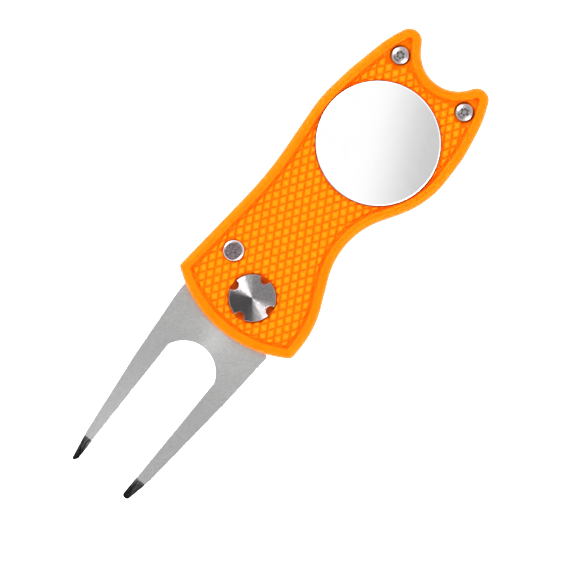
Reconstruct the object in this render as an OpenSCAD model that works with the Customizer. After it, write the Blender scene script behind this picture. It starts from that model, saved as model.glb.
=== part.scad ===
// Folding golf divot repair tool: a two-prong steel fork that swings out of a
// two-shell plastic handle, with a push-button lock and a magnetic ball marker.
//
// The tool lies on its back. +Z is the normal of the front face, +Y runs from
// the fork to the horned end of the handle and +X is the waisted side. The
// origin is at the bottom centre of the open tool. Everything is drawn about
// the fork's pivot and moved to that origin by tool_frame().

/* [Handle] */
// Thickness of the handle over both rims
handle_t = 11; // [10.8:0.1:11.6]
// Width of the raised rim around each face, with the slope down to the panel
rim_w = 2.5; // [2.2:0.1:2.8]
// Height of the rim above the panel inside it
rim_h = 0.6; // [0.4:0.1:0.7]
// Height of the slot that the fork folds into
slot_h = 2.6; // [2.5:0.1:2.8]

/* [Fork] */
// Thickness of the fork's steel plate
fork_t = 2.0; // [1.8:0.1:2.1]
// Length of the ground bevel at each prong's tip
tip_bevel = 5.2; // [3:0.2:7]
// Thickness left at the very tips
tip_t = 0.9; // [0.6:0.1:1.4]
// Radius of the round tang about the pivot
tang_r = 8.6; // [8.4:0.1:8.7]

/* [Pivot] */
// Radius of the pivot post's shaft
post_r = 2.5; // [2.3:0.1:2.6]
// Radius of the front pivot cap
cap_r = 4.85; // [4.6:0.05:4.9]
// Thickness of the pivot cap's flange
cap_t = 1.2; // [1:0.1:1.3]
// Radius of the four spanner notches in the cap
cap_notch_r = 1.0; // [0.8:0.1:1.1]

/* [Lock] */
// Radius of the push button's head
button_r = 2.15; // [1.9:0.05:2.25]
// Travel of the push button
button_travel = 1.4; // [1.3:0.1:1.4]
// Thickness of the flat lock spring
leaf_t = 0.4; // [0.3:0.05:0.4]

/* [Ball marker] */
// Radius of the ball marker
marker_r = 12.6; // [12:0.1:12.7]
// Thickness of the ball marker
marker_t = 1.6; // [1.2:0.1:1.8]
// Radius of the magnet under the marker
magnet_r = 5.0; // [4:0.5:6]

/* [Horn screws] */
// Radius of a horn screw's head
screw_head_r = 1.8; // [1.6:0.05:1.9]
// Radius of the barrel nuts that the horn screws enter
barrel_r = 1.5; // [1.4:0.05:1.6]

/* [Hidden] */

$fn = 64;
eps = 0.01;
// Gaps between pieces fixed together, between a piece and what it turns in, and round free pieces
snug = 0.05;
running = 0.05;
loose = 0.1;

// Corners of outlines are [x, y, radius], anticlockwise, with the pivot at 0, 0.
handle_corners = [
    [13.95, -4.4, 1.5], [13.95, 3.1, 22], [5.4, 20.8, 16.7], [15.1, 37.1, 20],
    [14.55, 48.8, 25], [12.85, 56.9, 25], [9.4, 64.5, 2.5], [0.2, 50.5, 7.5],
    [-9.5, 65.3, 2.6], [-12.85, 57.4, 25], [-14.75, 47.6, 40], [-15.6, 39.7, 30],
    [-13.75, 21.1, 80], [-15.55, -4.4, 1], [-0.9, -13.5, 25]
];
fork_corners = [
    [-12.6, -2.6, 0.8], [-12.4, -9, 4], [-10.9, -23.9, 20], [-8.5, -41.5, 8],
    [-6.95, -48.9, 0.4], [-6.1, -47.2, 0.4], [-6.9, -17.9, 0.8], [-1.05, -6.7, 6.4],
    [5, -17.9, 1.5], [5.35, -47.4, 0.7], [6.8, -47.4, 0.7], [7.95, -41.5, 8],
    [9.5, -19.9, 20], [10.1, -6.95, 0.8], [4.5, -7.1, 0], [-7, -2.6, 0]
];

// Neighbouring points of a rounded corner are at most this angle and this length apart
arc_step = 10;
arc_chord = 1;
// An inset corner with a smaller radius than this is left sharp
sharp_r = 0.3;

function unit(v) = v / norm(v);
function left_of(v) = [-v.y, v.x];
function xy(c) = [c.x, c.y];
function before(c, i) = xy(c[(i + len(c) - 1) % len(c)]);
function after(c, i) = xy(c[(i + 1) % len(c)]);

// Points of one rounded corner of the outline c
function corner_points(c, i) =
    let (
        p = xy(c[i]),
        r = c[i].z,
        into = unit(before(c, i) - p),
        out = unit(after(c, i) - p),
        half = acos(into * out) / 2,
        centre = p + unit(into + out) * r / sin(half),
        start = p + into * r / tan(half) - centre,
        turn = 180 - 2 * half,
        side = (-into.x * out.y + into.y * out.x) > 0 ? 1 : -1,
        steps = ceil(max(turn / arc_step, r * turn * PI / 180 / arc_chord))
    )
    r == 0 ? [p] : [
        for (k = [0:steps])
            let (a = side * turn * k / steps)
            centre + [start.x * cos(a) - start.y * sin(a), start.x * sin(a) + start.y * cos(a)]
    ];

function outline(c) = [for (i = [0:len(c) - 1]) each corner_points(c, i)];

// The same corners moved inwards by d
function inset(c, d) = [
    for (i = [0:len(c) - 1])
        let (
            p = xy(c[i]),
            n1 = left_of(unit(p - before(c, i))),
            n2 = left_of(unit(after(c, i) - p)),
            q = p + d * (n1 + n2) / (1 + n1 * n2),
            convex = n1.x * n2.y - n1.y * n2.x > 0,
            r = convex ? c[i].z - d : c[i].z + d
        )
        [q.x, q.y, r < sharp_r ? 0 : r]
];

handle_points = outline(handle_corners);
fork_points = outline(fork_corners);
all_points = concat(handle_points, fork_points);
centre = [
    (min([for (p = all_points) p.x]) + max([for (p = all_points) p.x])) / 2,
    (min([for (p = all_points) p.y]) + max([for (p = all_points) p.y])) / 2
];

// Heights, from the rear rim at z = 0
mid_z = handle_t / 2;
front_panel_z = handle_t - rim_h;
slot_floor = mid_z - slot_h / 2;
slot_roof = mid_z + slot_h / 2;
fork_z = mid_z - fork_t / 2;
fork_top = mid_z + fork_t / 2;

// Slot: open on the waisted side and at the fork's end, with a spine left on the other side
slot_reach = 49.1;
slot_corners = [
    [20, -14, 0], [20, 52, 0], [-9, 52, 0], [-9, 48, 0], [-11.4, 3, 0],
    [-11.4, 2.2, 0], [-13.2, 0.5, 0], [-13.2, -14, 0]
];

// Pivot group
post_head_r = 4.2;
post_head_z = 0.4;
post_head_t = 1;
post_slot_w = 1;
post_slot_d = 0.5;
cap_sink = 0.8;
cap_z = front_panel_z - cap_sink;
cap_chamfer = 0.2;
cap_notch_at = cap_r - 0.3;
cap_notch_turn = 5;
post_top = cap_z - loose;
stud_r = 1.25;
stud_l = 5.2;
stud_z = cap_z - stud_l;
stud_hole_z = stud_z - 0.5;
bush_wall = 0.5;
bush_r = post_r + running + bush_wall;
washer_r = 3.7;
washer_t = (slot_h - fork_t) / 2 - snug;

// Torsion spring: round wire, its coil held in a ring-shaped pocket of the front shell
coil_r = 4.65;
wire_r = 0.28;
coil_pitch = 0.58;
coil_turns = 2.5;
coil_z = slot_roof + wire_r + snug;
coil_top = coil_z + coil_turns * coil_pitch;
coil_start = 200;
coil_end = coil_start + coil_turns * 360;
coil_pocket_in = 3.95;
coil_pocket_out = 5.4;
coil_pocket_top = coil_top + wire_r + snug;
leg_depth = 1.2;
leg_hole_d = leg_depth + loose;
leg_reach = 2.2;
leg_slot_l = leg_reach + 0.5;
leg_angle = coil_end + 4;
leg_hole_r = wire_r + 0.17;
leg_slot_w = 2 * leg_hole_r;

// Lock: the button's stem stands on a flat spring whose tooth sits in a notch of the tang
button_at = [-9, 4.9];
button_angle = atan2(button_at.y, button_at.x);
button_h = 1.3;
button_chamfer = 0.4;
stem_r = 1.2;
stem_flange_r = 1.4;
stem_flange_t = 0.5;
stem_grip = 0.7;
leaf_top = 3.6;
leaf_z = leaf_top - leaf_t;
tooth_in = 7.45;
tooth_d = 1.0;
tooth_w = 2.4;
tooth_top = fork_z + 1.1;
notch_gap = 0.15;
notch_reach = 2;
leaf_pad_r = 1.9;
leaf_corners = [
    [-10.5, 4.5, 0], [-7.6, 4.5, 0], [-5.6, 20, 6], [-4.8, 29, 1.6], [-9.8, 29, 1.6], [-9.6, 20, 6]
];
leaf_room = 0.4;
leaf_floor = 1.6;
leaf_pad_y = 20.5;
leaf_pad_size = 15;
rivet_head_r = 0.9;
rivet_head_t = 0.4;
rivet_r = 0.5;
rivet_foot = 1.8;
rivet_lower_at = [-7.5, 22.5];
rivet_upper_at = [-7.3, 26.6];

// Stop pin that the fork's shoulder rests against when open
stop_at = [-11.3, -1.3];
stop_r = 1.2;
stop_z = 2.2;
stop_top = slot_roof + 2;

// Ball marker, its seat and magnet
marker_at = [-0.6, 40];
marker_top = handle_t - 0.1;
seat_z = marker_top - marker_t - snug;
marker_chamfer = 0.25;
marker_back_chamfer = 0.15;
magnet_t = 1.5;
magnet_z = seat_z - magnet_t;

// Horn screws and barrel nuts
horn_left_at = [-8.55, 56.4];
horn_right_at = [8.65, 55.9];
screw_seat = 9.6;
screw_head_h = 1.1;
screw_edge_h = 0.7;
screw_rim_w = 0.7;
screw_rim_h = 1;
shank_r = 0.95;
shank_z = 4.2;
shank_hole_z = shank_z - 0.5;
counterbore_r = 2.1;
barrel_flange_r = 2.1;
barrel_flange_z = 0.5;
barrel_flange_t = 0.8;
barrel_top = 8.3;
socket_r = 0.9;
socket_d = 0.7;
socket_lobe = 0.14;
barrel_socket_d = 0.6;

module tool_frame() {
    translate([-centre.x, -centre.y, 0]) children();
}

module plate(points, z0, z1) {
    translate([0, 0, z0]) linear_extrude(z1 - z0) polygon(points);
}

module rod(r, z0, z1, at = [0, 0]) {
    translate([at.x, at.y, z0]) cylinder(r = r, h = z1 - z0);
}

module ring(r_in, r_out, z0, z1) {
    difference() {
        rod(r_out, z0, z1);
        rod(r_in, z0 - eps, z1 + eps);
    }
}

// Half of the slot, between the heights z0 and z1
module slot_space(z0, z1) {
    intersection() {
        plate(outline(slot_corners), z0, z1);
        rod(slot_reach, z0, z1);
    }
}

// Six-lobed driver socket of radius r
module star_socket(r, z0, z1, at) {
    lobes = [for (a = [0:10:350]) r * (1 - socket_lobe + socket_lobe * cos(6 * a)) * [cos(a), sin(a)]];
    translate([at.x, at.y, z0]) linear_extrude(z1 - z0) polygon(lobes);
}

module stop_pin_hole(z0, z1) {
    rod(stop_r + snug, z0, z1, stop_at);
}

module front_shell() {
    color("darkorange") tool_frame() difference() {
        plate(handle_points, mid_z, handle_t);
        plate(outline(inset(handle_corners, rim_w)), front_panel_z, handle_t + eps);
        slot_space(mid_z - eps, slot_roof);
        rod(post_r + snug, slot_roof - eps, handle_t);
        rod(cap_r + loose, cap_z, handle_t);
        ring(coil_pocket_in, coil_pocket_out, slot_roof - eps, coil_pocket_top);
        rotate(leg_angle) translate([coil_r, -leg_slot_w / 2, slot_roof - eps])
            cube([leg_slot_l, leg_slot_w, coil_pocket_top - slot_roof + eps]);
        rod(button_r + loose, slot_roof + button_travel, handle_t + eps, button_at);
        rod(stem_r + loose, slot_roof - eps, handle_t, button_at);
        stop_pin_hole(slot_roof - eps, stop_top + loose);
        rod(marker_r + loose, seat_z, handle_t + eps, marker_at);
        rod(magnet_r + snug, magnet_z - snug, handle_t, marker_at);
        for (at = [horn_left_at, horn_right_at]) {
            rod(counterbore_r, screw_seat, handle_t + eps, at);
            rod(shank_r + loose, mid_z - eps, handle_t, at);
            rod(barrel_r + snug, mid_z - eps, barrel_top + loose, at);
        }
    }
}

// Plan of the lock spring, grown by g all round
module leaf_plan(g) {
    translate(button_at) circle(leaf_pad_r + g);
    polygon(outline(inset(leaf_corners, -g)));
    rotate(button_angle) translate([tooth_in - g, -tooth_w / 2 - g])
        square([norm(button_at) - tooth_in + g, tooth_w + 2 * g]);
}

// Pocket for the lock spring, with a raised pad left under its riveted end
module leaf_pocket() {
    difference() {
        translate([0, 0, leaf_floor]) linear_extrude(slot_floor - leaf_floor + eps) leaf_plan(leaf_room);
        translate([-leaf_pad_size, leaf_pad_y, leaf_floor - eps])
            cube([leaf_pad_size, leaf_pad_size, leaf_z - leaf_floor + eps]);
    }
}

module rear_shell() {
    color("darkorange") tool_frame() difference() {
        plate(handle_points, 0, mid_z);
        plate(outline(inset(handle_corners, rim_w)), -eps, rim_h);
        slot_space(slot_floor, mid_z + eps);
        leaf_pocket();
        rod(post_r + snug, 0, slot_floor + eps);
        rod(post_head_r + loose, -eps, post_head_z + post_head_t);
        stop_pin_hole(stop_z - loose, slot_floor + eps);
        for (at = [rivet_lower_at, rivet_upper_at]) rod(rivet_r + snug, rivet_foot - loose, slot_floor, at);
        for (at = [horn_left_at, horn_right_at]) {
            rod(barrel_r + snug, 0, mid_z + eps, at);
            rod(barrel_flange_r + loose, -eps, barrel_flange_z + barrel_flange_t, at);
        }
    }
}

// Ground bevels that thin both prongs towards their tips, on one face
module tip_wedge() {
    tip_y = -48;
    wedge_w = 40;
    drop = (fork_t - tip_t) / 2;
    translate([0, tip_y + tip_bevel, fork_top]) rotate([atan2(drop, tip_bevel), 0, 0])
        translate([-wedge_w / 2, -2 * tip_bevel, 0]) cube([wedge_w, 2 * tip_bevel, fork_t]);
}

module fork() {
    color("silver") tool_frame() difference() {
        union() {
            plate(fork_points, fork_z, fork_top);
            rod(tang_r, fork_z, fork_top);
        }
        rod(bush_r + snug, fork_z - eps, fork_top + eps);
        for (a = [button_angle, button_angle + 180])
            rotate(a) translate([tooth_in - notch_gap, -tooth_w / 2 - notch_gap, fork_z - eps])
                cube([notch_reach, tooth_w + 2 * notch_gap, fork_t + 2 * eps]);
        rotate(coil_start) rod(leg_hole_r, fork_top - leg_hole_d, fork_top + eps, [coil_r, 0]);
        tip_wedge();
        translate([0, 0, 2 * mid_z]) mirror([0, 0, 1]) tip_wedge();
    }
}

module pivot_cap() {
    cap_top = cap_z + cap_t;
    color("gainsboro") tool_frame() {
        difference() {
            rotate_extrude() polygon([
                [0, cap_z], [cap_r, cap_z], [cap_r, cap_top - cap_chamfer],
                [cap_r - cap_chamfer, cap_top], [0, cap_top]
            ]);
            for (a = [0:90:270])
                rotate(a + cap_notch_turn) rod(cap_notch_r, cap_z - eps, cap_top + eps, [cap_notch_at, 0]);
        }
        rod(stud_r, stud_z, cap_z + eps);
    }
}

module pivot_post() {
    color("silver") tool_frame() difference() {
        union() {
            rod(post_head_r, post_head_z, post_head_z + post_head_t);
            rod(post_r, post_head_z, post_top);
        }
        rod(stud_r + snug, stud_hole_z, post_top + eps);
        translate([-post_head_r, -post_slot_w / 2, post_head_z - eps])
            cube([2 * post_head_r, post_slot_w, post_slot_d + eps]);
    }
}

module pivot_bushing() {
    color("goldenrod") tool_frame() ring(post_r + running, bush_r, fork_z, fork_top);
}

module front_washer() {
    color("white") tool_frame() ring(post_r + snug, washer_r, slot_roof - washer_t, slot_roof);
}

module rear_washer() {
    color("white") tool_frame() ring(post_r + snug, washer_r, slot_floor, slot_floor + washer_t);
}

// Tube of radius r swept along a list of points, as one closed polyhedron
function tangents(path) = [
    for (i = [0:len(path) - 1]) unit(path[min(i + 1, len(path) - 1)] - path[max(i - 1, 0)])
];
function normals(t, i, n) =
    let (m = unit(n - (n * t[i]) * t[i]))
    i == len(t) - 1 ? [m] : concat([m], normals(t, i + 1, m));

module swept_wire(path, r) {
    sides = 10;
    t = tangents(path);
    n = normals(t, 0, [1, 0, 0.01]);
    last = len(path) - 1;
    rings = [
        for (i = [0:last])
            for (k = [0:sides - 1])
                let (a = 360 * k / sides)
                path[i] + r * (cos(a) * n[i] + sin(a) * cross(t[i], n[i]))
    ];
    walls = [
        for (i = [0:last - 1])
            for (k = [0:sides - 1])
                let (k2 = (k + 1) % sides)
                [i * sides + k, (i + 1) * sides + k, (i + 1) * sides + k2, i * sides + k2]
    ];
    caps = [[for (k = [0:sides - 1]) k], [for (k = [sides - 1:-1:0]) last * sides + k]];
    polyhedron(points = rings, faces = concat(walls, caps));
}

// The coil, with one leg down into the tang and the other out into the front shell
coil_step = 15;
coil_path = [
    for (a = [coil_start:coil_step:coil_end])
        [coil_r * cos(a), coil_r * sin(a), coil_z + coil_pitch * (a - coil_start) / 360]
];
leg_down = [
    for (z = [fork_top - leg_depth, coil_z - wire_r])
        [coil_r * cos(coil_start), coil_r * sin(coil_start), z]
];
leg_out = [
    for (r = [coil_r + wire_r, coil_r + leg_reach])
        [r * cos(leg_angle), r * sin(leg_angle), coil_top]
];

module torsion_spring() {
    color("slategray") tool_frame() swept_wire(concat(leg_down, coil_path, leg_out), wire_r);
}

module push_button() {
    bottom = handle_t - button_h;
    color("silver") tool_frame() translate([button_at.x, button_at.y, 0]) difference() {
        rotate_extrude() polygon([
            [0, bottom], [button_r, bottom], [button_r, handle_t - button_chamfer],
            [button_r - button_chamfer, handle_t], [0, handle_t]
        ]);
        rod(stem_r + snug, bottom - eps, bottom + stem_grip);
    }
}

module button_stem() {
    flange_top = slot_roof - loose;
    color("silver") tool_frame() {
        rod(stem_r, leaf_top + snug, handle_t - button_h + stem_grip - snug, button_at);
        rod(stem_flange_r, flange_top - stem_flange_t, flange_top, button_at);
    }
}

module lock_spring() {
    color("slategray") tool_frame() difference() {
        union() {
            translate([0, 0, leaf_z]) linear_extrude(leaf_t) leaf_plan(0);
            rotate(button_angle) translate([tooth_in, -tooth_w / 2, leaf_z])
                cube([tooth_d, tooth_w, tooth_top - leaf_z]);
        }
        for (at = [rivet_lower_at, rivet_upper_at]) rod(rivet_r + snug, leaf_z - eps, leaf_top + eps, at);
    }
}

module spring_rivet(at) {
    color("silver") tool_frame() {
        rod(rivet_r, rivet_foot, leaf_top + eps, at);
        rod(rivet_head_r, leaf_top, leaf_top + rivet_head_t, at);
    }
}

module spring_rivet_upper() {
    spring_rivet(rivet_upper_at);
}

module spring_rivet_lower() {
    spring_rivet(rivet_lower_at);
}

module stop_pin() {
    color("silver") tool_frame() rod(stop_r, stop_z, stop_top, stop_at);
}

module ball_marker() {
    bottom = marker_top - marker_t;
    color("whitesmoke") tool_frame() translate([marker_at.x, marker_at.y, 0]) rotate_extrude() polygon([
        [0, bottom], [marker_r - marker_back_chamfer, bottom], [marker_r, bottom + marker_back_chamfer],
        [marker_r, marker_top - marker_chamfer], [marker_r - marker_chamfer, marker_top], [0, marker_top]
    ]);
}

module marker_magnet() {
    color("lightsteelblue") tool_frame() rod(magnet_r, magnet_z, seat_z, marker_at);
}

// Pan-head screw with a lobed socket
module horn_screw(at) {
    head_top = screw_seat + screw_head_h;
    color("silver") tool_frame() difference() {
        translate([at.x, at.y, 0]) rotate_extrude() polygon([
            [0, shank_z], [shank_r, shank_z], [shank_r, screw_seat], [screw_head_r, screw_seat],
            [screw_head_r, screw_seat + screw_edge_h],
            [screw_head_r - screw_rim_w / 3, screw_seat + (screw_edge_h + screw_rim_h) / 2],
            [screw_head_r - screw_rim_w, screw_seat + screw_rim_h], [0, head_top]
        ]);
        star_socket(socket_r, head_top - socket_d, head_top + eps, at);
    }
}

module horn_screw_left() {
    horn_screw(horn_left_at);
}

module horn_screw_right() {
    horn_screw(horn_right_at);
}

module horn_post(at) {
    color("silver") tool_frame() difference() {
        union() {
            rod(barrel_flange_r, barrel_flange_z, barrel_flange_z + barrel_flange_t, at);
            rod(barrel_r, barrel_flange_z, barrel_top, at);
        }
        rod(shank_r + snug, shank_hole_z, barrel_top + eps, at);
        star_socket(socket_r, barrel_flange_z - eps, barrel_flange_z + barrel_socket_d, at);
    }
}

module horn_post_left() {
    horn_post(horn_left_at);
}

module horn_post_right() {
    horn_post(horn_right_at);
}

front_shell();
rear_shell();
fork();
pivot_cap();
pivot_post();
pivot_bushing();
front_washer();
rear_washer();
torsion_spring();
push_button();
button_stem();
lock_spring();
spring_rivet_upper();
spring_rivet_lower();
stop_pin();
ball_marker();
marker_magnet();
horn_screw_left();
horn_screw_right();
horn_post_left();
horn_post_right();
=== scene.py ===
"""Folding divot repair tool: detailed shells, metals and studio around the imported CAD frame.

Metres, row frame: the tool lies on its back, +Y towards the horns, +Z out of the front face.
"""

import math

import bmesh
import bpy
import numpy as np
from mathutils.geometry import delaunay_2d_cdt
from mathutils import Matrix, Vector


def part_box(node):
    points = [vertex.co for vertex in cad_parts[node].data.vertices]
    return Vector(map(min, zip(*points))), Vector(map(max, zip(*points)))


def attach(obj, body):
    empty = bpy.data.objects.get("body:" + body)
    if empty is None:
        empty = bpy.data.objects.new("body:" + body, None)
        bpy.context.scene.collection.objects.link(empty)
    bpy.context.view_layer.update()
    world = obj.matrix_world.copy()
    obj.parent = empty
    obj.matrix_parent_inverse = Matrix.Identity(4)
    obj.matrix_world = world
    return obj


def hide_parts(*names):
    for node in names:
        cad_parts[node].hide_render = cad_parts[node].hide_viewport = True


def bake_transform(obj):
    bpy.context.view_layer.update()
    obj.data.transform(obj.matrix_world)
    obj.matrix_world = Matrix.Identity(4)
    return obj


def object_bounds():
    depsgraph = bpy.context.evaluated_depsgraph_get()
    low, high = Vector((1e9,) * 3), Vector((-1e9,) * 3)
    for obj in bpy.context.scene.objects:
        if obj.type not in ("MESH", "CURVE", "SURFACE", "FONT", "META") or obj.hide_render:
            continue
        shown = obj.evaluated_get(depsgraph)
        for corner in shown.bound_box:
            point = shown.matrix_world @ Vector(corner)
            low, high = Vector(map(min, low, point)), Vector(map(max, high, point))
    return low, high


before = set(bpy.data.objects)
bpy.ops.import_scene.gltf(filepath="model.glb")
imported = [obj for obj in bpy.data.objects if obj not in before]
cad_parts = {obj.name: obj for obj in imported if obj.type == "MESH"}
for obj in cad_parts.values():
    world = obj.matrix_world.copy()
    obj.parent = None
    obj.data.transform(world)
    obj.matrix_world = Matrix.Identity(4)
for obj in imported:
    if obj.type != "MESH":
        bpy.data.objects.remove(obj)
cad_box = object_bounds()

MM = 0.001


def middle(node):
    """Centre of a CAD node's box."""
    low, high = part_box(node)
    return (low + high) / 2


def span(node):
    """Size of a CAD node's box."""
    low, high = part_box(node)
    return high - low


PIVOT = middle("pivot_bushing")
BUTTON = middle("push_button")
MARKER = middle("ball_marker")
SCREWS = [middle("horn_screw_left"), middle("horn_screw_right")]


# --- Meshes -----------------------------------------------------------------------------------


def new_object(name, mesh):
    obj = bpy.data.objects.new(name, mesh)
    bpy.context.collection.objects.link(obj)
    return obj


def joined_copy(node):
    """A bmesh copy of a CAD node with the corners that the file splits joined up again."""
    bm = bmesh.new()
    bm.from_mesh(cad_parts[node].data)
    bmesh.ops.remove_doubles(bm, verts=bm.verts, dist=1e-7)
    return bm


def boundary_loops(faces):
    """Closed loops of vertices round a set of faces, in the faces' own winding."""
    inside = set(faces)
    following = {}
    for face in faces:
        for corner in face.loops:
            if sum(f in inside for f in corner.edge.link_faces) == 1:
                following[corner.vert] = corner.link_loop_next.vert
    loops = []
    while following:
        start, vert = following.popitem()
        loop = [start]
        while vert is not start:
            loop.append(vert)
            vert = following.pop(vert)
        loops.append(loop)
    return loops


def shade(mesh, angle):
    """Smooth shading, with edges sharper than angle (degrees) left crisp."""
    mesh.polygons.foreach_set("use_smooth", [True] * len(mesh.polygons))
    mesh.set_sharp_from_angle(angle=math.radians(angle))


def refined(node, name, bevel):
    """A CAD node's shape as an own piece, its hard edges broken by a bevel and its flats kept flat."""
    bm = joined_copy(node)
    bmesh.ops.dissolve_limit(bm, angle_limit=math.radians(0.5), verts=bm.verts, edges=bm.edges)
    mesh = bpy.data.meshes.new(name)
    bm.to_mesh(mesh)
    bm.free()
    obj = new_object(name, mesh)
    cut = obj.modifiers.new("edges", "BEVEL")
    cut.width = bevel
    cut.segments = 2
    cut.limit_method = "ANGLE"
    cut.angle_limit = math.radians(30)
    apply_modifiers(obj)
    shade(obj.data, 50)
    obj.modifiers.new("flats", "WEIGHTED_NORMAL").keep_sharp = True
    apply_modifiers(obj)
    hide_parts(node)
    return obj


def apply_modifiers(obj):
    bpy.context.view_layer.update()
    done = bpy.data.meshes.new_from_object(obj.evaluated_get(bpy.context.evaluated_depsgraph_get()))
    obj.modifiers.clear()
    obj.data = done


# --- Handle shells: rounded rim, sloped wall and diamond knurl --------------------------------

RIM = 2.45 * MM  # from the outer edge to the foot of the slope down to the panel
SKIN = 0.05 * MM  # how far the detailed surface stays inside the CAD shell's outer wall
SINK = 0.01 * MM  # how far the detailed rim stays below the CAD shell's rim
OUTLINE_STEP = 0.7 * MM  # longest edge of the detailed outline
ROUND = 1.25 * MM  # radius of the rim's outer edge
PANEL_DEPTH = 1.0 * MM  # from the rim's top to the knurl's grooves
KNURL_TOP = 0.61 * MM  # from the rim's top to the knurl's peaks
CELL = np.array([0.9, 1.477]) * MM  # half width and half height of one knurl diamond
KNURL_AT = np.array([0.55, 16.3]) * MM  # centre of one diamond
KNURL_START = 0.08 * MM  # from the foot of the rim's slope to the knurl's first edges
SCREW_CLEAR = 2.5 * MM  # radius left smooth round each horn screw
HOLE_MARGIN = 1.6 * MM  # how far the knurl is drawn into the holes that the front CAD shell cuts

# Slope inside the rim: distance from the outer edge, depth below the rim's top
SLOPE = [(1.72, 0.02), (1.84, 0.08), (1.96, 0.24), (2.12, 0.52), (2.28, 0.78), (2.45, 0.9)]
# One diamond: share of its size, share of the knurl's depth
DIAMOND = [(0.0, 0.0), (0.26, 0.06), (0.5, 0.24), (0.74, 0.58), (0.92, 0.92), (1.0, 1.0)]


def rim_profile():
    """Depths below the rim's top at distances from the outer edge, rounded edge first."""
    arc = [math.radians(a) for a in (0, 18, 36, 54, 72, 90)]
    edge = [(ROUND * (1 - math.cos(a)), ROUND * (1 - math.sin(a))) for a in arc]
    return np.array(edge + [(d * MM, h * MM) for d, h in SLOPE])


PROFILE = rim_profile()


def outline_of(node, z):
    """Outer outline of a CAD node's flat face at height z, anticlockwise."""
    bm = joined_copy(node)
    flat = [f for f in bm.faces if all(abs(v.co.z - z) < 1e-6 for v in f.verts)]
    loops = [np.array([v.co.xy for v in loop]) for loop in boundary_loops(flat)]
    bm.free()
    loop = max(loops, key=lambda p: np.ptp(p[:, 1]))
    ahead = np.roll(loop, -1, 0)
    area = np.sum(loop[:, 0] * ahead[:, 1] - loop[:, 1] * ahead[:, 0])
    return loop if area > 0 else loop[::-1]


def dense(loop, step):
    """The same closed loop with no edge longer than step."""
    points = []
    for a, b in zip(loop, np.roll(loop, -1, 0)):
        count = max(1, math.ceil(np.linalg.norm(b - a) / step))
        points += [a + (b - a) * k / count for k in range(count)]
    return np.array(points)


def depth_inside(points, loop):
    """Distance from points to a closed loop, negative outside it."""
    a = loop[None]
    b = np.roll(loop, -1, 0)[None]
    p = points[:, None]
    along = b - a
    share = np.clip(((p - a) * along).sum(2) / (along**2).sum(2), 0, 1)
    gap = np.linalg.norm(p - a - along * share[..., None], axis=2).min(1)
    rises = (a[..., 1] > p[..., 1]) != (b[..., 1] > p[..., 1])
    tall = np.where(along[..., 1] == 0, 1, along[..., 1])
    crosses = rises & (p[..., 0] < a[..., 0] + (p[..., 1] - a[..., 1]) * along[..., 0] / tall)
    return np.where(crosses.sum(1) % 2 == 1, gap, -gap)


def inset(loop, d):
    """The closed loop moved inwards by d, with what crosses at tight corners cut to a point."""
    if d == 0:
        return loop
    ahead = np.roll(loop, -1, 0) - loop
    ahead /= np.linalg.norm(ahead, axis=1)[:, None]
    behind = np.roll(ahead, 1, 0)
    inward = np.stack([-(ahead + behind)[:, 1], (ahead + behind)[:, 0]], 1)
    inward *= 2 / (inward**2).sum(1)[:, None]
    moved = loop + inward * d
    good = depth_inside(moved, loop) > d * 0.999
    count = len(loop)
    points = []
    for i in np.nonzero(good)[0]:
        points.append(moved[i])
        if good[(i + 1) % count]:
            continue
        j = next(k % count for k in range(i + 1, i + count) if good[k % count])
        across = np.array([ahead[i], -behind[j]]).T
        if abs(np.linalg.det(across)) > 0.05:
            reach = np.linalg.solve(across, moved[j] - moved[i])
            points.append(moved[i] + ahead[i] * reach[0])
    return np.array(points)


def cell_place(points):
    """Places in units of knurl cells along the two groove directions."""
    u = (points - KNURL_AT) / CELL
    return np.stack([u[:, 0] + u[:, 1], u[:, 0] - u[:, 1]], 1) / 2


def is_knurled(cells):
    """False for the cells left smooth: at the horns' tips and close round the horn screws."""
    at = KNURL_AT + np.stack([cells.sum(1), cells[:, 0] - cells[:, 1]], 1) * CELL
    kept = at[:, 1] < min(s.y for s in SCREWS)
    for s in SCREWS:
        kept &= np.hypot(at[:, 0] - s.x, at[:, 1] - s.y) > SCREW_CLEAR
    return kept


def depth_below_rim(points, loop):
    """How deep the face lies below the rim's top at each point."""
    inside = depth_inside(points, loop)
    rim = np.interp(inside, PROFILE[:, 0], PROFILE[:, 1])
    place = cell_place(points)
    cell = np.round(place)
    share = 2 * np.abs(place - cell).max(1)
    table = np.array(DIAMOND)
    knurl = KNURL_TOP + (PANEL_DEPTH - KNURL_TOP) * np.interp(share, table[:, 0], table[:, 1])
    knurl = np.where(is_knurled(cell), knurl, PANEL_DEPTH)
    return np.where(inside > RIM + 0.01 * MM, knurl, rim)


def cut_holes():
    """Discs that the front CAD shell cuts out of its panel: no knurl is drawn well inside them.

    The rear shell has no hole behind the marker, so its panel shows a plain patch there.
    """
    return [(MARKER, span("ball_marker").x / 2), (PIVOT, span("pivot_cap").x / 2)]


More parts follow.
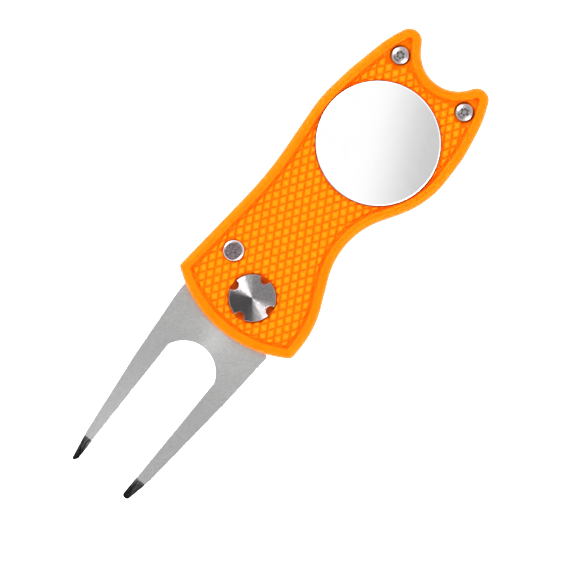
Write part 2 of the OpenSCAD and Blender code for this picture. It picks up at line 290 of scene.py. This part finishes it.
def knurl_edges(loop):
    """Ends of the short edges that draw the knurl's diamonds, clipped to the panel."""
    place = cell_place(loop)
    low, high = np.floor(place.min(0)).astype(int), np.ceil(place.max(0)).astype(int)
    cells = np.array([(i, j) for i in range(low[0], high[0] + 1) for j in range(low[1], high[1] + 1)])
    cells = cells[is_knurled(cells)]
    at = KNURL_AT + np.stack([cells.sum(1), cells[:, 0] - cells[:, 1]], 1) * CELL
    wanted = depth_inside(at, loop) > RIM - CELL[1]
    for centre, radius in cut_holes():
        wanted &= np.hypot(at[:, 0] - centre.x, at[:, 1] - centre.y) > radius - HOLE_MARGIN
    at = at[wanted]
    tips = np.array([(1, 0), (0, 1), (-1, 0), (0, -1)])
    starts = []
    ends = []
    for share, _ in DIAMOND[1:]:
        for tip, following in zip(tips, np.roll(tips, -1, 0)):
            starts.append(at + tip * CELL * share)
            ends.append(at + following * CELL * share)
    a, b = np.concatenate(starts), np.concatenate(ends)
    limit = RIM + KNURL_START
    deep_a, deep_b = depth_inside(a, loop), depth_inside(b, loop)
    some = (deep_a > limit) | (deep_b > limit)
    a, b, deep_a, deep_b = a[some], b[some], deep_a[some], deep_b[some]
    share = np.clip((limit - deep_a) / np.where(deep_a == deep_b, 1, deep_b - deep_a), 0, 1)[:, None]
    crossing = a + (b - a) * share
    return np.where(deep_a[:, None] > limit, a, crossing), np.where(deep_b[:, None] > limit, b, crossing)


def face_mesh(loop):
    """Triangles of one handle face in plan, drawn along the rim's rings and the knurl's edges."""
    points = []
    edges = []
    for d in PROFILE[:, 0]:
        ring = inset(loop, d)
        first = len(points)
        points += list(ring)
        edges += [(first + k, first + (k + 1) % len(ring)) for k in range(len(ring))]
    a, b = knurl_edges(loop)
    first = len(points)
    both = np.round(np.concatenate([a, b]) / (0.001 * MM)).astype(int)
    unique, index = np.unique(both, axis=0, return_inverse=True)
    index = index.reshape(-1)
    points += list(unique * 0.001 * MM)
    pairs = zip(index[: len(a)], index[len(a) :])
    edges += [(first + int(i), first + int(j)) for i, j in pairs if i != j]
    scaled = [tuple(p / MM) for p in points]
    verts, _, faces, *_ = delaunay_2d_cdt(scaled, edges, [], 1, 1e-5)
    return np.array([v[:] for v in verts]) * MM, faces


def shell(node, name, top, cut):
    """One handle shell: the detailed face closed downwards, then cut by the CAD shell's own shape.

    top is the height of the rim and cut the far side of the parting plane, beyond it.
    """
    up = 1 if top > cut else -1
    loop = dense(inset(outline_of(node, top), SKIN), OUTLINE_STEP)
    plan, faces = face_mesh(loop)
    heights = top - up * (depth_below_rim(plan, loop) + SINK)
    bm = bmesh.new()
    verts = [bm.verts.new((x, y, z)) for (x, y), z in zip(plan, heights)]
    made = [bm.faces.new([verts[i] for i in face]) for face in faces]
    edge = max(boundary_loops(made), key=len)
    foot = [bm.verts.new((v.co.x, v.co.y, cut)) for v in edge]
    for k, vert in enumerate(edge):
        following = (k + 1) % len(edge)
        bm.faces.new([edge[following], vert, foot[k], foot[following]])
    bm.faces.new(foot[::-1])
    bmesh.ops.recalc_face_normals(bm, faces=bm.faces)
    mesh = bpy.data.meshes.new(name)
    bm.to_mesh(mesh)
    bm.free()
    obj = new_object(name, mesh)
    tool_mesh = bpy.data.meshes.new(name + "_cut")
    bm = joined_copy(node)
    bm.to_mesh(tool_mesh)
    bm.free()
    tool = new_object(name + "_cut", tool_mesh)
    step = obj.modifiers.new("cut", "BOOLEAN")
    step.operation = "INTERSECT"
    step.object = tool
    step.solver = "MANIFOLD"
    apply_modifiers(obj)
    bpy.data.objects.remove(tool)
    shade(obj.data, 50)
    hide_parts(node)
    return obj


# --- Materials --------------------------------------------------------------------------------


def feed(tree, value, socket):
    """Put a number into a socket, or link an output to it."""
    if isinstance(value, (int, float)):
        socket.default_value = value
    else:
        tree.links.new(value, socket)


def math_node(tree, kind, a, b=0):
    """A Math node of two inputs, each a number or an output. One-input kinds leave b out."""
    node = tree.nodes.new("ShaderNodeMath")
    node.operation = kind
    feed(tree, a, node.inputs[0])
    feed(tree, b, node.inputs[1])
    return node.outputs["Value"]


def range_node(tree, kind, value, low, high, to_low, to_high):
    """A Map Range node, clamped, that goes from low to high in a straight line or an S curve."""
    node = tree.nodes.new("ShaderNodeMapRange")
    node.interpolation_type = kind
    for key, number in zip(("From Min", "From Max", "To Min", "To Max"), (low, high, to_low, to_high)):
        node.inputs[key].default_value = number
    tree.links.new(value, node.inputs["Value"])
    return node.outputs["Result"]


class Finish:
    """A Principled material and short ways to add procedural detail to it."""

    def __init__(self, name, color, roughness, metallic=0.0):
        self.material = bpy.data.materials.new(name)
        self.material.use_nodes = True
        self.tree = self.material.node_tree
        self.nodes = self.tree.nodes
        self.links = self.tree.links
        self.shader = self.nodes["Principled BSDF"]
        self.shader.inputs["Base Color"].default_value = (*color, 1)
        self.shader.inputs["Roughness"].default_value = roughness
        self.shader.inputs["Metallic"].default_value = metallic
        self.place = self.nodes.new("ShaderNodeTexCoord").outputs["Object"]

    def stretched(self, scale, turn=0.0, centre=(0, 0, 0)):
        """Object coordinates turned about Z, in units of 1 / scale metres along each axis."""
        mapping = self.nodes.new("ShaderNodeMapping")
        mapping.vector_type = "TEXTURE"
        mapping.inputs["Location"].default_value = centre
        mapping.inputs["Rotation"].default_value = (0, 0, math.radians(turn))
        mapping.inputs["Scale"].default_value = [1 / s for s in scale]
        self.links.new(self.place, mapping.inputs["Vector"])
        return mapping.outputs["Vector"]

    def axis(self, vector, letter):
        split = self.nodes.new("ShaderNodeSeparateXYZ")
        self.links.new(vector, split.inputs["Vector"])
        return split.outputs[letter]

    def noise(self, vector, detail=2.0, rough=0.5):
        node = self.nodes.new("ShaderNodeTexNoise")
        node.inputs["Scale"].default_value = 1
        node.inputs["Detail"].default_value = detail
        node.inputs["Roughness"].default_value = rough
        self.links.new(vector, node.inputs["Vector"])
        return node.outputs["Fac"]

    def remap(self, value, low, high, to_low, to_high):
        return range_node(self.tree, "LINEAR", value, low, high, to_low, to_high)

    def math(self, kind, a, b=0):
        return math_node(self.tree, kind, a, b)

    def blend(self, share, color_a, color_b):
        """A colour between two, each a tuple or an output."""
        node = self.nodes.new("ShaderNodeMix")
        node.data_type = "RGBA"
        self.links.new(share, node.inputs["Factor"])
        for socket, value in ((node.inputs[6], color_a), (node.inputs[7], color_b)):
            if isinstance(value, tuple):
                socket.default_value = (*value, 1)
            else:
                self.links.new(value, socket)
        return node.outputs[2]

    def paint(self, color):
        self.links.new(color, self.shader.inputs["Base Color"])

    def rough(self, value):
        self.links.new(value, self.shader.inputs["Roughness"])

    def bump(self, height, distance, strength=1.0):
        node = self.nodes.new("ShaderNodeBump")
        node.inputs["Strength"].default_value = strength
        node.inputs["Distance"].default_value = distance
        self.links.new(height, node.inputs["Height"])
        before = self.shader.inputs["Normal"]
        if before.links:
            self.links.new(before.links[0].from_socket, node.inputs["Normal"])
        self.links.new(node.outputs["Normal"], before)

    def radius(self, centre):
        """Distance from the upright line through centre."""
        flat = self.nodes.new("ShaderNodeVectorMath")
        flat.operation = "MULTIPLY"
        flat.inputs[1].default_value = (1, 1, 0)
        self.links.new(self.stretched((1, 1, 1), 0, centre), flat.inputs[0])
        length = self.nodes.new("ShaderNodeVectorMath")
        length.operation = "LENGTH"
        self.links.new(flat.outputs["Vector"], length.inputs[0])
        return length.outputs["Value"]

    def openness(self, distance):
        """1 on open surfaces, less in grooves and corners narrower than distance."""
        node = self.nodes.new("ShaderNodeAmbientOcclusion")
        node.inputs["Distance"].default_value = distance
        return node.outputs["AO"]

    def soften_edge(self, centre, start):
        """Lean the normals of a chamfer back towards +Z beyond the radius start."""
        lean = 0.55  # slope of the bump, as rise over run
        past = self.math("MAXIMUM", self.math("SUBTRACT", self.radius(centre), start), 0)
        self.bump(self.math("MULTIPLY", past, lean), 1)

    def radial_tangent(self):
        """Grooves run in circles about the piece's own Z axis."""
        node = self.nodes.new("ShaderNodeTangent")
        node.direction_type = "RADIAL"
        node.axis = "Z"
        self.links.new(node.outputs["Tangent"], self.shader.inputs["Tangent"])


def moulded_plastic():
    """Satin orange plastic with a faint flow pattern and fine mould grain, with painted shade that makes
    it redder in its grooves and on its steep walls, a painted redder glow in the recess round the pivot
    cap and a painted highlight on the knurl's peaks."""
    f = Finish("moulded_plastic", (0.93, 0.19, 0.002), 0.38)
    flow = f.noise(f.stretched((140, 60, 140), 20), 3)
    smooth = f.blend(f.remap(flow, 0.3, 0.7, 0, 1), (0.92, 0.196, 0.001), (0.95, 0.213, 0.002))
    height = f.math("ABSOLUTE", f.math("SUBTRACT", f.axis(f.place, "Z"), PIVOT.z))
    # ambient occlusion: the mask for the painted shade below
    opened = f.openness(1.2 * MM)
    rim = span("front_shell").z
    peak, groove = rim - KNURL_TOP, rim - PANEL_DEPTH
    flank = groove + 0.22 * MM
    # painted highlight: the knurl's peaks painted lighter towards their tops
    peak_highlight = f.math("POWER", f.remap(height, flank, peak, 0, 1), 2)
    # painted shade: the knurl's flanks redder and darker towards the grooves' bottoms
    sloped = f.blend(f.remap(height, groove, flank, 0, 1), (0.9, 0.125, 0), (0.93, 0.222, 0.001))
    knurl = f.blend(peak_highlight, sloped, (0.95, 0.33, 0.006))
    # painted shade: the knurl's grooves and corners painted a dark red by occlusion
    knurl = f.blend(f.remap(opened, 0.6, 0.92, 0, 1), (0.9, 0.11, 0), knurl)
    face = f.blend(f.remap(height, peak, peak + 0.02 * MM, 0, 1), knurl, smooth)
    # painted glow: below the grooves' level the recess round the pivot cap is painted a redder orange in
    # place of light through the plastic
    cap_edge = span("pivot_cap").x / 2
    past_cap = f.remap(f.radius(PIVOT), cap_edge + 0.15 * MM, cap_edge + 0.25 * MM, 0, 1)
    deep = f.blend(past_cap, (1, 0.13, 0.012), smooth)
    face = f.blend(f.remap(height, groove - 0.1 * MM, groove - 0.3 * MM, 0, 1), face, deep)
    # painted shade: steep walls and the rim's rounded outer edge painted redder and darker, darkest where
    # occluded
    normal = f.nodes.new("ShaderNodeNewGeometry").outputs["Normal"]
    level = f.math("ABSOLUTE", f.axis(normal, "Z"))
    steep = f.blend(f.remap(opened, 0.88, 0.97, 0, 1), (0.9, 0.1, 0), (0.8, 0.2, 0.002))
    f.paint(f.blend(f.remap(level, 0.72, 0.54, 0, 1), face, steep))
    grain = f.noise(f.stretched((9000, 9000, 9000)), 2)
    f.rough(f.remap(flow, 0.3, 0.7, 0.34, 0.42))
    f.bump(grain, 0.012 * MM)
    f.shader.inputs["Specular IOR Level"].default_value = 0.5
    f.shader.inputs["Specular Tint"].default_value = (1, 0.45, 0.03, 1)
    f.shader.inputs["Subsurface Weight"].default_value = 0.8
    f.shader.inputs["Subsurface Scale"].default_value = 0.8 * MM
    f.shader.inputs["Subsurface Radius"].default_value = (1, 0.35, 0.05)
    return f.material


def brushed_plate():
    """Stainless plate brushed at a slant, with dark lengthwise grinding towards the tips."""
    f = Finish("brushed_plate", (0.56, 0.56, 0.56), 0.26, 1)
    brushed = f.noise(f.stretched((6500, 1000, 6500), -28), 3, 0.6)
    patches = f.noise(f.stretched((260, 180, 260), -28), 4, 0.6)
    plain = f.blend(f.remap(brushed, 0.32, 0.68, 0, 1), (0.64, 0.64, 0.635), (0.77, 0.77, 0.765))
    plain = f.blend(f.remap(patches, 0.35, 0.65, 0, 0.4), plain, (0.62, 0.62, 0.615))
    ground = f.noise(f.stretched((6500, 220, 6500), 6), 4, 0.7)
    along = f.axis(f.place, "Y")
    tip_length = 5.4 * MM
    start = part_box("fork")[0].y + tip_length
    streaks = f.remap(along, start - 0.3 * MM, start - 4.5 * MM, 0.42, 0.54)
    light = f.math("MULTIPLY", f.math("SUBTRACT", ground, streaks), 5)
    dark = f.blend(light, (0.022, 0.022, 0.022), (0.4, 0.4, 0.4))
    wobble = f.remap(patches, 0.3, 0.7, -0.2 * MM, 0.2 * MM)
    at_tip = f.remap(f.math("ADD", along, wobble), start, start - 0.25 * MM, 0, 1)
    f.paint(f.blend(at_tip, plain, dark))
    f.rough(f.remap(patches, 0.3, 0.7, 0.24, 0.3))
    f.bump(brushed, 0.003 * MM)
    f.bump(f.math("MULTIPLY", ground, at_tip), 0.003 * MM)
    f.shader.inputs["Anisotropic"].default_value = 0.3
    return f.material


def turned_steel(name, color, roughness, centre, pitch, depth, crown):
    """Steel faced on a lathe: grooves in circles about centre, falling outwards by the slope crown,
    with some wear. pitch and depth are the grooves' own."""
    f = Finish(name, color, roughness, 1)
    radius = f.radius(centre)
    waves = f.math("SINE", f.math("MULTIPLY", radius, 2 * math.pi / pitch))
    wear = f.noise(f.stretched((2200, 2200, 2200)), 4, 0.65)
    f.bump(f.math("MULTIPLY", radius, -crown), 1)
    f.bump(waves, depth)
    f.bump(wear, 0.002 * MM)
    dull = tuple(c * 0.8 for c in color)
    f.paint(f.blend(f.remap(wear, 0.35, 0.65, 0, 1), color, dull))
    f.rough(f.remap(wear, 0.3, 0.7, roughness * 0.85, roughness * 1.25))
    f.shader.inputs["Anisotropic"].default_value = 0.9
    f.shader.inputs["Anisotropic Rotation"].default_value = 0.25
    f.radial_tangent()
    return f.material


def scratched_steel(name, color, roughness):
    """Small pressed or turned steel with fine crossing scratches and painted shade in its sockets and
    corners.
    """
    f = Finish(name, color, roughness, 1)
    one = f.noise(f.stretched((14000, 900, 14000), 35), 3, 0.7)
    other = f.noise(f.stretched((11000, 800, 11000), -50), 3, 0.7)
    marks = f.math("MULTIPLY", one, other)
    f.bump(marks, 0.02 * MM)
    dull = tuple(c * 0.62 for c in color)
    bright = f.blend(f.remap(marks, 0.16, 0.36, 0, 1), dull, color)
    # painted shade: occluded sockets and corners painted nearly black
    f.paint(f.blend(f.remap(f.openness(0.8 * MM), 0.45, 0.8, 0, 1), tuple(c * 0.1 for c in color), bright))
    f.rough(f.remap(one, 0.3, 0.7, roughness * 0.8, roughness * 1.3))
    return f.material


def button_steel():
    """Scratched button face painted dark as a painted reflection, darker than the painted highlight ring
    round its edge.
    """
    f = Finish("button_face", (0.19, 0.15, 0.16), 0.3, 1)
    one = f.noise(f.stretched((9000, 900, 9000), 35), 3, 0.7)
    other = f.noise(f.stretched((7000, 800, 7000), -50), 3, 0.7)
    marks = f.math("MULTIPLY", one, other)
    # painted reflection: the face painted dark, lighter along its scratches
    face = f.blend(f.remap(marks, 0.16, 0.36, 0, 1), (0.06, 0.045, 0.05), (0.5, 0.4, 0.43))
    ring_width = 0.42 * MM
    ring = span("push_button").x / 2 - ring_width
    # painted highlight: a bright ring painted round the face's edge
    edge = f.remap(f.radius(BUTTON), ring - 0.05 * MM, ring + 0.05 * MM, 0, 1)
    f.paint(f.blend(edge, face, (0.85, 0.8, 0.81)))
    f.rough(f.remap(edge, 0, 1, 0.32, 0.18))
    f.soften_edge(BUTTON, ring)
    f.bump(marks, 0.012 * MM)
    return f.material


def polished_steel():
    """Mirror-polished marker with a barely seen polishing haze, a satin chamfer and a painted shadow: a
    dark line along the front edge."""
    f = Finish("polished_steel", (0.97, 0.97, 0.97), 0.03, 1)
    edge = span("ball_marker").x / 2
    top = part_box("ball_marker")[1].z
    chamfer = edge - 0.28 * MM
    f.soften_edge(MARKER, chamfer)
    haze = f.noise(f.stretched((500, 500, 500)), 3)
    satin = f.remap(f.radius(MARKER), edge - 0.32 * MM, chamfer, 0, 0.45)
    f.rough(f.math("ADD", f.remap(haze, 0.35, 0.65, 0.02, 0.03), satin))
    mirror = f.blend(f.remap(haze, 0.3, 0.7, 0, 1), (0.96, 0.96, 0.96), (0.98, 0.98, 0.98))
    # painted shadow: a dark line on the chamfer's outer edge, where the gap round the marker lies in shade
    front = f.remap(f.axis(f.place, "Z"), top - 0.3 * MM, top - 0.26 * MM, 0, 1)
    line = f.remap(f.radius(MARKER), edge - 0.09 * MM, edge - 0.05 * MM, 0, 1)
    f.paint(f.blend(f.math("MULTIPLY", line, front), mirror, (0.12, 0.05, 0.02)))
    return f.material


def plain_metal(name, color, roughness, grain):
    """Hidden metal: drawn or sintered, with grain spots to a metre."""
    f = Finish(name, color, roughness, 1)
    spots = f.noise(f.stretched((grain, grain, grain)), 3)
    f.paint(f.blend(f.remap(spots, 0.3, 0.7, 0, 1), tuple(c * 0.8 for c in color), color))
    f.rough(f.remap(spots, 0.3, 0.7, roughness * 0.8, roughness * 1.2))
    f.bump(spots, 0.004 * MM)
    return f.material


def washer_plastic():
    f = Finish("washer_plastic", (0.8, 0.8, 0.75), 0.5)
    spots = f.noise(f.stretched((2500, 2500, 2500)), 3)
    f.paint(f.blend(f.remap(spots, 0.3, 0.7, 0, 1), (0.74, 0.74, 0.69), (0.84, 0.84, 0.8)))
    f.bump(spots, 0.003 * MM)
    return f.material


def put(obj, material):
    obj.data.materials.clear()
    obj.data.materials.append(material)
    return obj


def finish_node(node, material):
    """A CAD node that stays as it is, with a better material."""
    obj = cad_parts[node]
    for place in obj.material_slots:
        place.material = material
    if not obj.material_slots:
        obj.data.materials.append(material)


# --- The object -------------------------------------------------------------------------------


def build_shells():
    plastic = moulded_plastic()
    rear_low, rear_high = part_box("rear_shell")
    front_low, front_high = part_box("front_shell")
    front = shell("front_shell", "front_shell_moulded", front_high.z, front_low.z - MM)
    rear = shell("rear_shell", "rear_shell_moulded", rear_low.z, rear_high.z + MM)
    for obj in (front, rear):
        put(obj, plastic)
        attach(obj, "handle")


def build_fork():
    plate = put(refined("fork", "fork_plate", 0.12 * MM), brushed_plate())
    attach(plate, "fork")
    finish_node("pivot_bushing", plain_metal("bronze", (0.62, 0.4, 0.2), 0.45, 3000))


def build_pivot():
    steel = turned_steel("turned_steel", (0.44, 0.415, 0.42), 0.2, PIVOT, 0.09 * MM, 0.0012 * MM, 0.17)
    for node in ("pivot_cap", "pivot_post"):
        piece = put(refined(node, node + "_turned", 0.1 * MM), steel)
        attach(piece, "handle")
    for node in ("front_washer", "rear_washer"):
        finish_node(node, washer_plastic())


def build_springs():
    """The coil between handle and fork and the button's flat spring, each copied as an own piece and fixed
    in place.
    """
    wire = plain_metal("spring_wire", (0.42, 0.42, 0.44), 0.3, 4000)
    coil = bpy.data.meshes.new("torsion_coil")
    bm = joined_copy("torsion_spring")
    bm.to_mesh(coil)
    bm.free()
    piece = put(new_object("torsion_coil", coil), wire)
    shade(piece.data, 60)
    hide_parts("torsion_spring")
    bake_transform(piece)
    flat = put(refined("lock_spring", "lock_leaf", 0.05 * MM), wire)
    lower, upper = middle("spring_rivet_lower"), middle("spring_rivet_upper")
    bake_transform(flat)


def build_button():
    steel = scratched_steel("pin_steel", (0.5, 0.47, 0.48), 0.3)
    head = put(refined("push_button", "push_button_head", 0.18 * MM), button_steel())
    stem = put(refined("button_stem", "button_stem_pin", 0.05 * MM), steel)
    for piece in (head, stem):
        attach(piece, "button")
    for node in ("spring_rivet_upper", "spring_rivet_lower", "stop_pin"):
        finish_node(node, steel)


def build_marker():
    marker = put(refined("ball_marker", "ball_marker_disc", 0.05 * MM), polished_steel())
    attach(marker, "marker")
    finish_node("marker_magnet", plain_metal("nickel_plate", (0.7, 0.68, 0.64), 0.18, 900))


def build_screws():
    steel = scratched_steel("screw_steel", (0.66, 0.61, 0.62), 0.28)
    for side in ("left", "right"):
        for part in ("horn_screw", "horn_post"):
            piece = put(refined(f"{part}_{side}", f"{part}_{side}_plated", 0.05 * MM), steel)
            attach(piece, "handle")


# --- Studio -----------------------------------------------------------------------------------

ROLL = 40  # degrees that the picture's horizontal is turned from +X
AIM = (PIVOT.x + 4.18 * MM, PIVOT.y + 6.15 * MM)  # what the picture's middle looks at
VIEW_WIDTH = 115.4 * MM
DISTANCE = 0.9
RIGHT = (math.cos(math.radians(ROLL)), math.sin(math.radians(ROLL)))
UP = (-RIGHT[1], RIGHT[0])
BOARDS = 36  # degrees from the picture's right to the grey board, with the dark board opposite
DARK_BOARD = 0.02
GREY_BOARD = 0.52
CARD = -12  # degrees from the picture's right to the grey side of the card overhead
CARD_LIGHT = (1.03, 0.62)  # its white side and its grey side


def build_camera():
    data = bpy.data.cameras.new("camera")
    data.sensor_width = 36
    data.lens = 36 * DISTANCE / VIEW_WIDTH
    camera = bpy.data.objects.new("camera", data)
    bpy.context.collection.objects.link(camera)
    camera.location = (*AIM, cad_box[1].z + DISTANCE)
    camera.rotation_euler = (0, 0, math.radians(ROLL))
    bpy.context.scene.camera = camera


def build_floor():
    mesh = bpy.data.meshes.new("floor")
    half = 1.5
    corners = [(-half, -half, 0), (half, -half, 0), (half, half, 0), (-half, half, 0)]
    mesh.from_pydata(corners, [], [(0, 1, 2, 3)])
    obj = new_object("floor", mesh)
    f = Finish("floor_paper", (0.95, 0.95, 0.95), 0.9)
    tone = f.noise(f.stretched((8, 8, 8)), 2)
    f.paint(f.blend(tone, (0.94, 0.94, 0.94), (0.96, 0.96, 0.96)))
    f.shader.inputs["Specular IOR Level"].default_value = 0
    f.shader.inputs["Emission Color"].default_value = (1, 1, 1, 1)
    f.shader.inputs["Emission Strength"].default_value = 1
    put(obj, f.material)
    obj.location.z = -0.02 * MM


def build_world():
    """Studio surroundings, by direction: white walls with a dark board at the picture's lower left
    and a grey one at its upper right, and a card overhead that is white to the left of the camera
    and grey to its right."""
    world = bpy.data.worlds.new("studio")
    bpy.context.scene.world = world
    world.use_nodes = True
    tree = world.node_tree
    place = tree.nodes.new("ShaderNodeTexCoord").outputs["Generated"]

    def along(direction):
        node = tree.nodes.new("ShaderNodeVectorMath")
        node.operation = "DOT_PRODUCT"
        node.inputs[1].default_value = direction
        tree.links.new(place, node.inputs[0])
        return node.outputs["Value"]

    def level(degrees):
        """How far each direction points along a level one, turned from the picture's right."""
        turn = math.radians(degrees)
        return along((*(RIGHT[k] * math.cos(turn) + UP[k] * math.sin(turn) for k in (0, 1)), 0))

    def calc(kind, a, b=0):
        return math_node(tree, kind, a, b)

    def step(value, low, high, to_low, to_high):
        return range_node(tree, "SMOOTHSTEP", value, low, high, to_low, to_high)

    def mixed(share, a, b):
        return calc("ADD", a, calc("MULTIPLY", share, calc("SUBTRACT", b, a)))

    # Sine of the angle from overhead: 0 straight above, 1 at the horizon
    overhead = along((0, 0, 1))
    tilt = calc("SQRT", calc("MAXIMUM", calc("SUBTRACT", 1, calc("MULTIPLY", overhead, overhead)), 1e-6))
    card = step(level(CARD), 0.01, 0.026, *CARD_LIGHT)
    towards = calc("DIVIDE", level(BOARDS), tilt)
    walls = mixed(step(towards, -0.62, -0.48, 1, 0), 1, DARK_BOARD)
    walls = mixed(step(towards, 0.5, 0.62, 0, 1), walls, GREY_BOARD)
    past_card = step(tilt, 0.06, 0.12, 0, 1)
    boards = calc("MULTIPLY", past_card, step(tilt, 0.62, 0.74, 1, 0))
    light = mixed(boards, mixed(past_card, card, 1), walls)
    background = tree.nodes["Background"]
    background.inputs["Color"].default_value = (1, 1, 1, 1)
    tree.links.new(light, background.inputs["Strength"])


def soft_box(name, right, up, height, size, watts):
    """A square area light, placed in the picture's own right and up directions, aimed at the tool."""
    data = bpy.data.lights.new(name, "AREA")
    data.size = size
    data.energy = watts
    light = bpy.data.objects.new(name, data)
    bpy.context.collection.objects.link(light)
    light.location = (
        AIM[0] + RIGHT[0] * right + UP[0] * up,
        AIM[1] + RIGHT[1] * right + UP[1] * up,
        height,
    )
    away = light.location.copy()
    away.x -= AIM[0]
    away.y -= AIM[1]
    light.rotation_euler = away.to_track_quat("Z", "Y").to_euler()


def build_studio():
    bpy.context.scene.view_settings.view_transform = "Standard"
    build_camera()
    build_floor()
    build_world()
    soft_box("key", right=-0.38, up=0.46, height=0.65, size=0.35, watts=5)
    soft_box("fill", right=0.42, up=-0.5, height=0.65, size=0.35, watts=5)


build_shells()
build_fork()
build_pivot()
build_springs()
build_button()
build_marker()
build_screws()
build_studio()
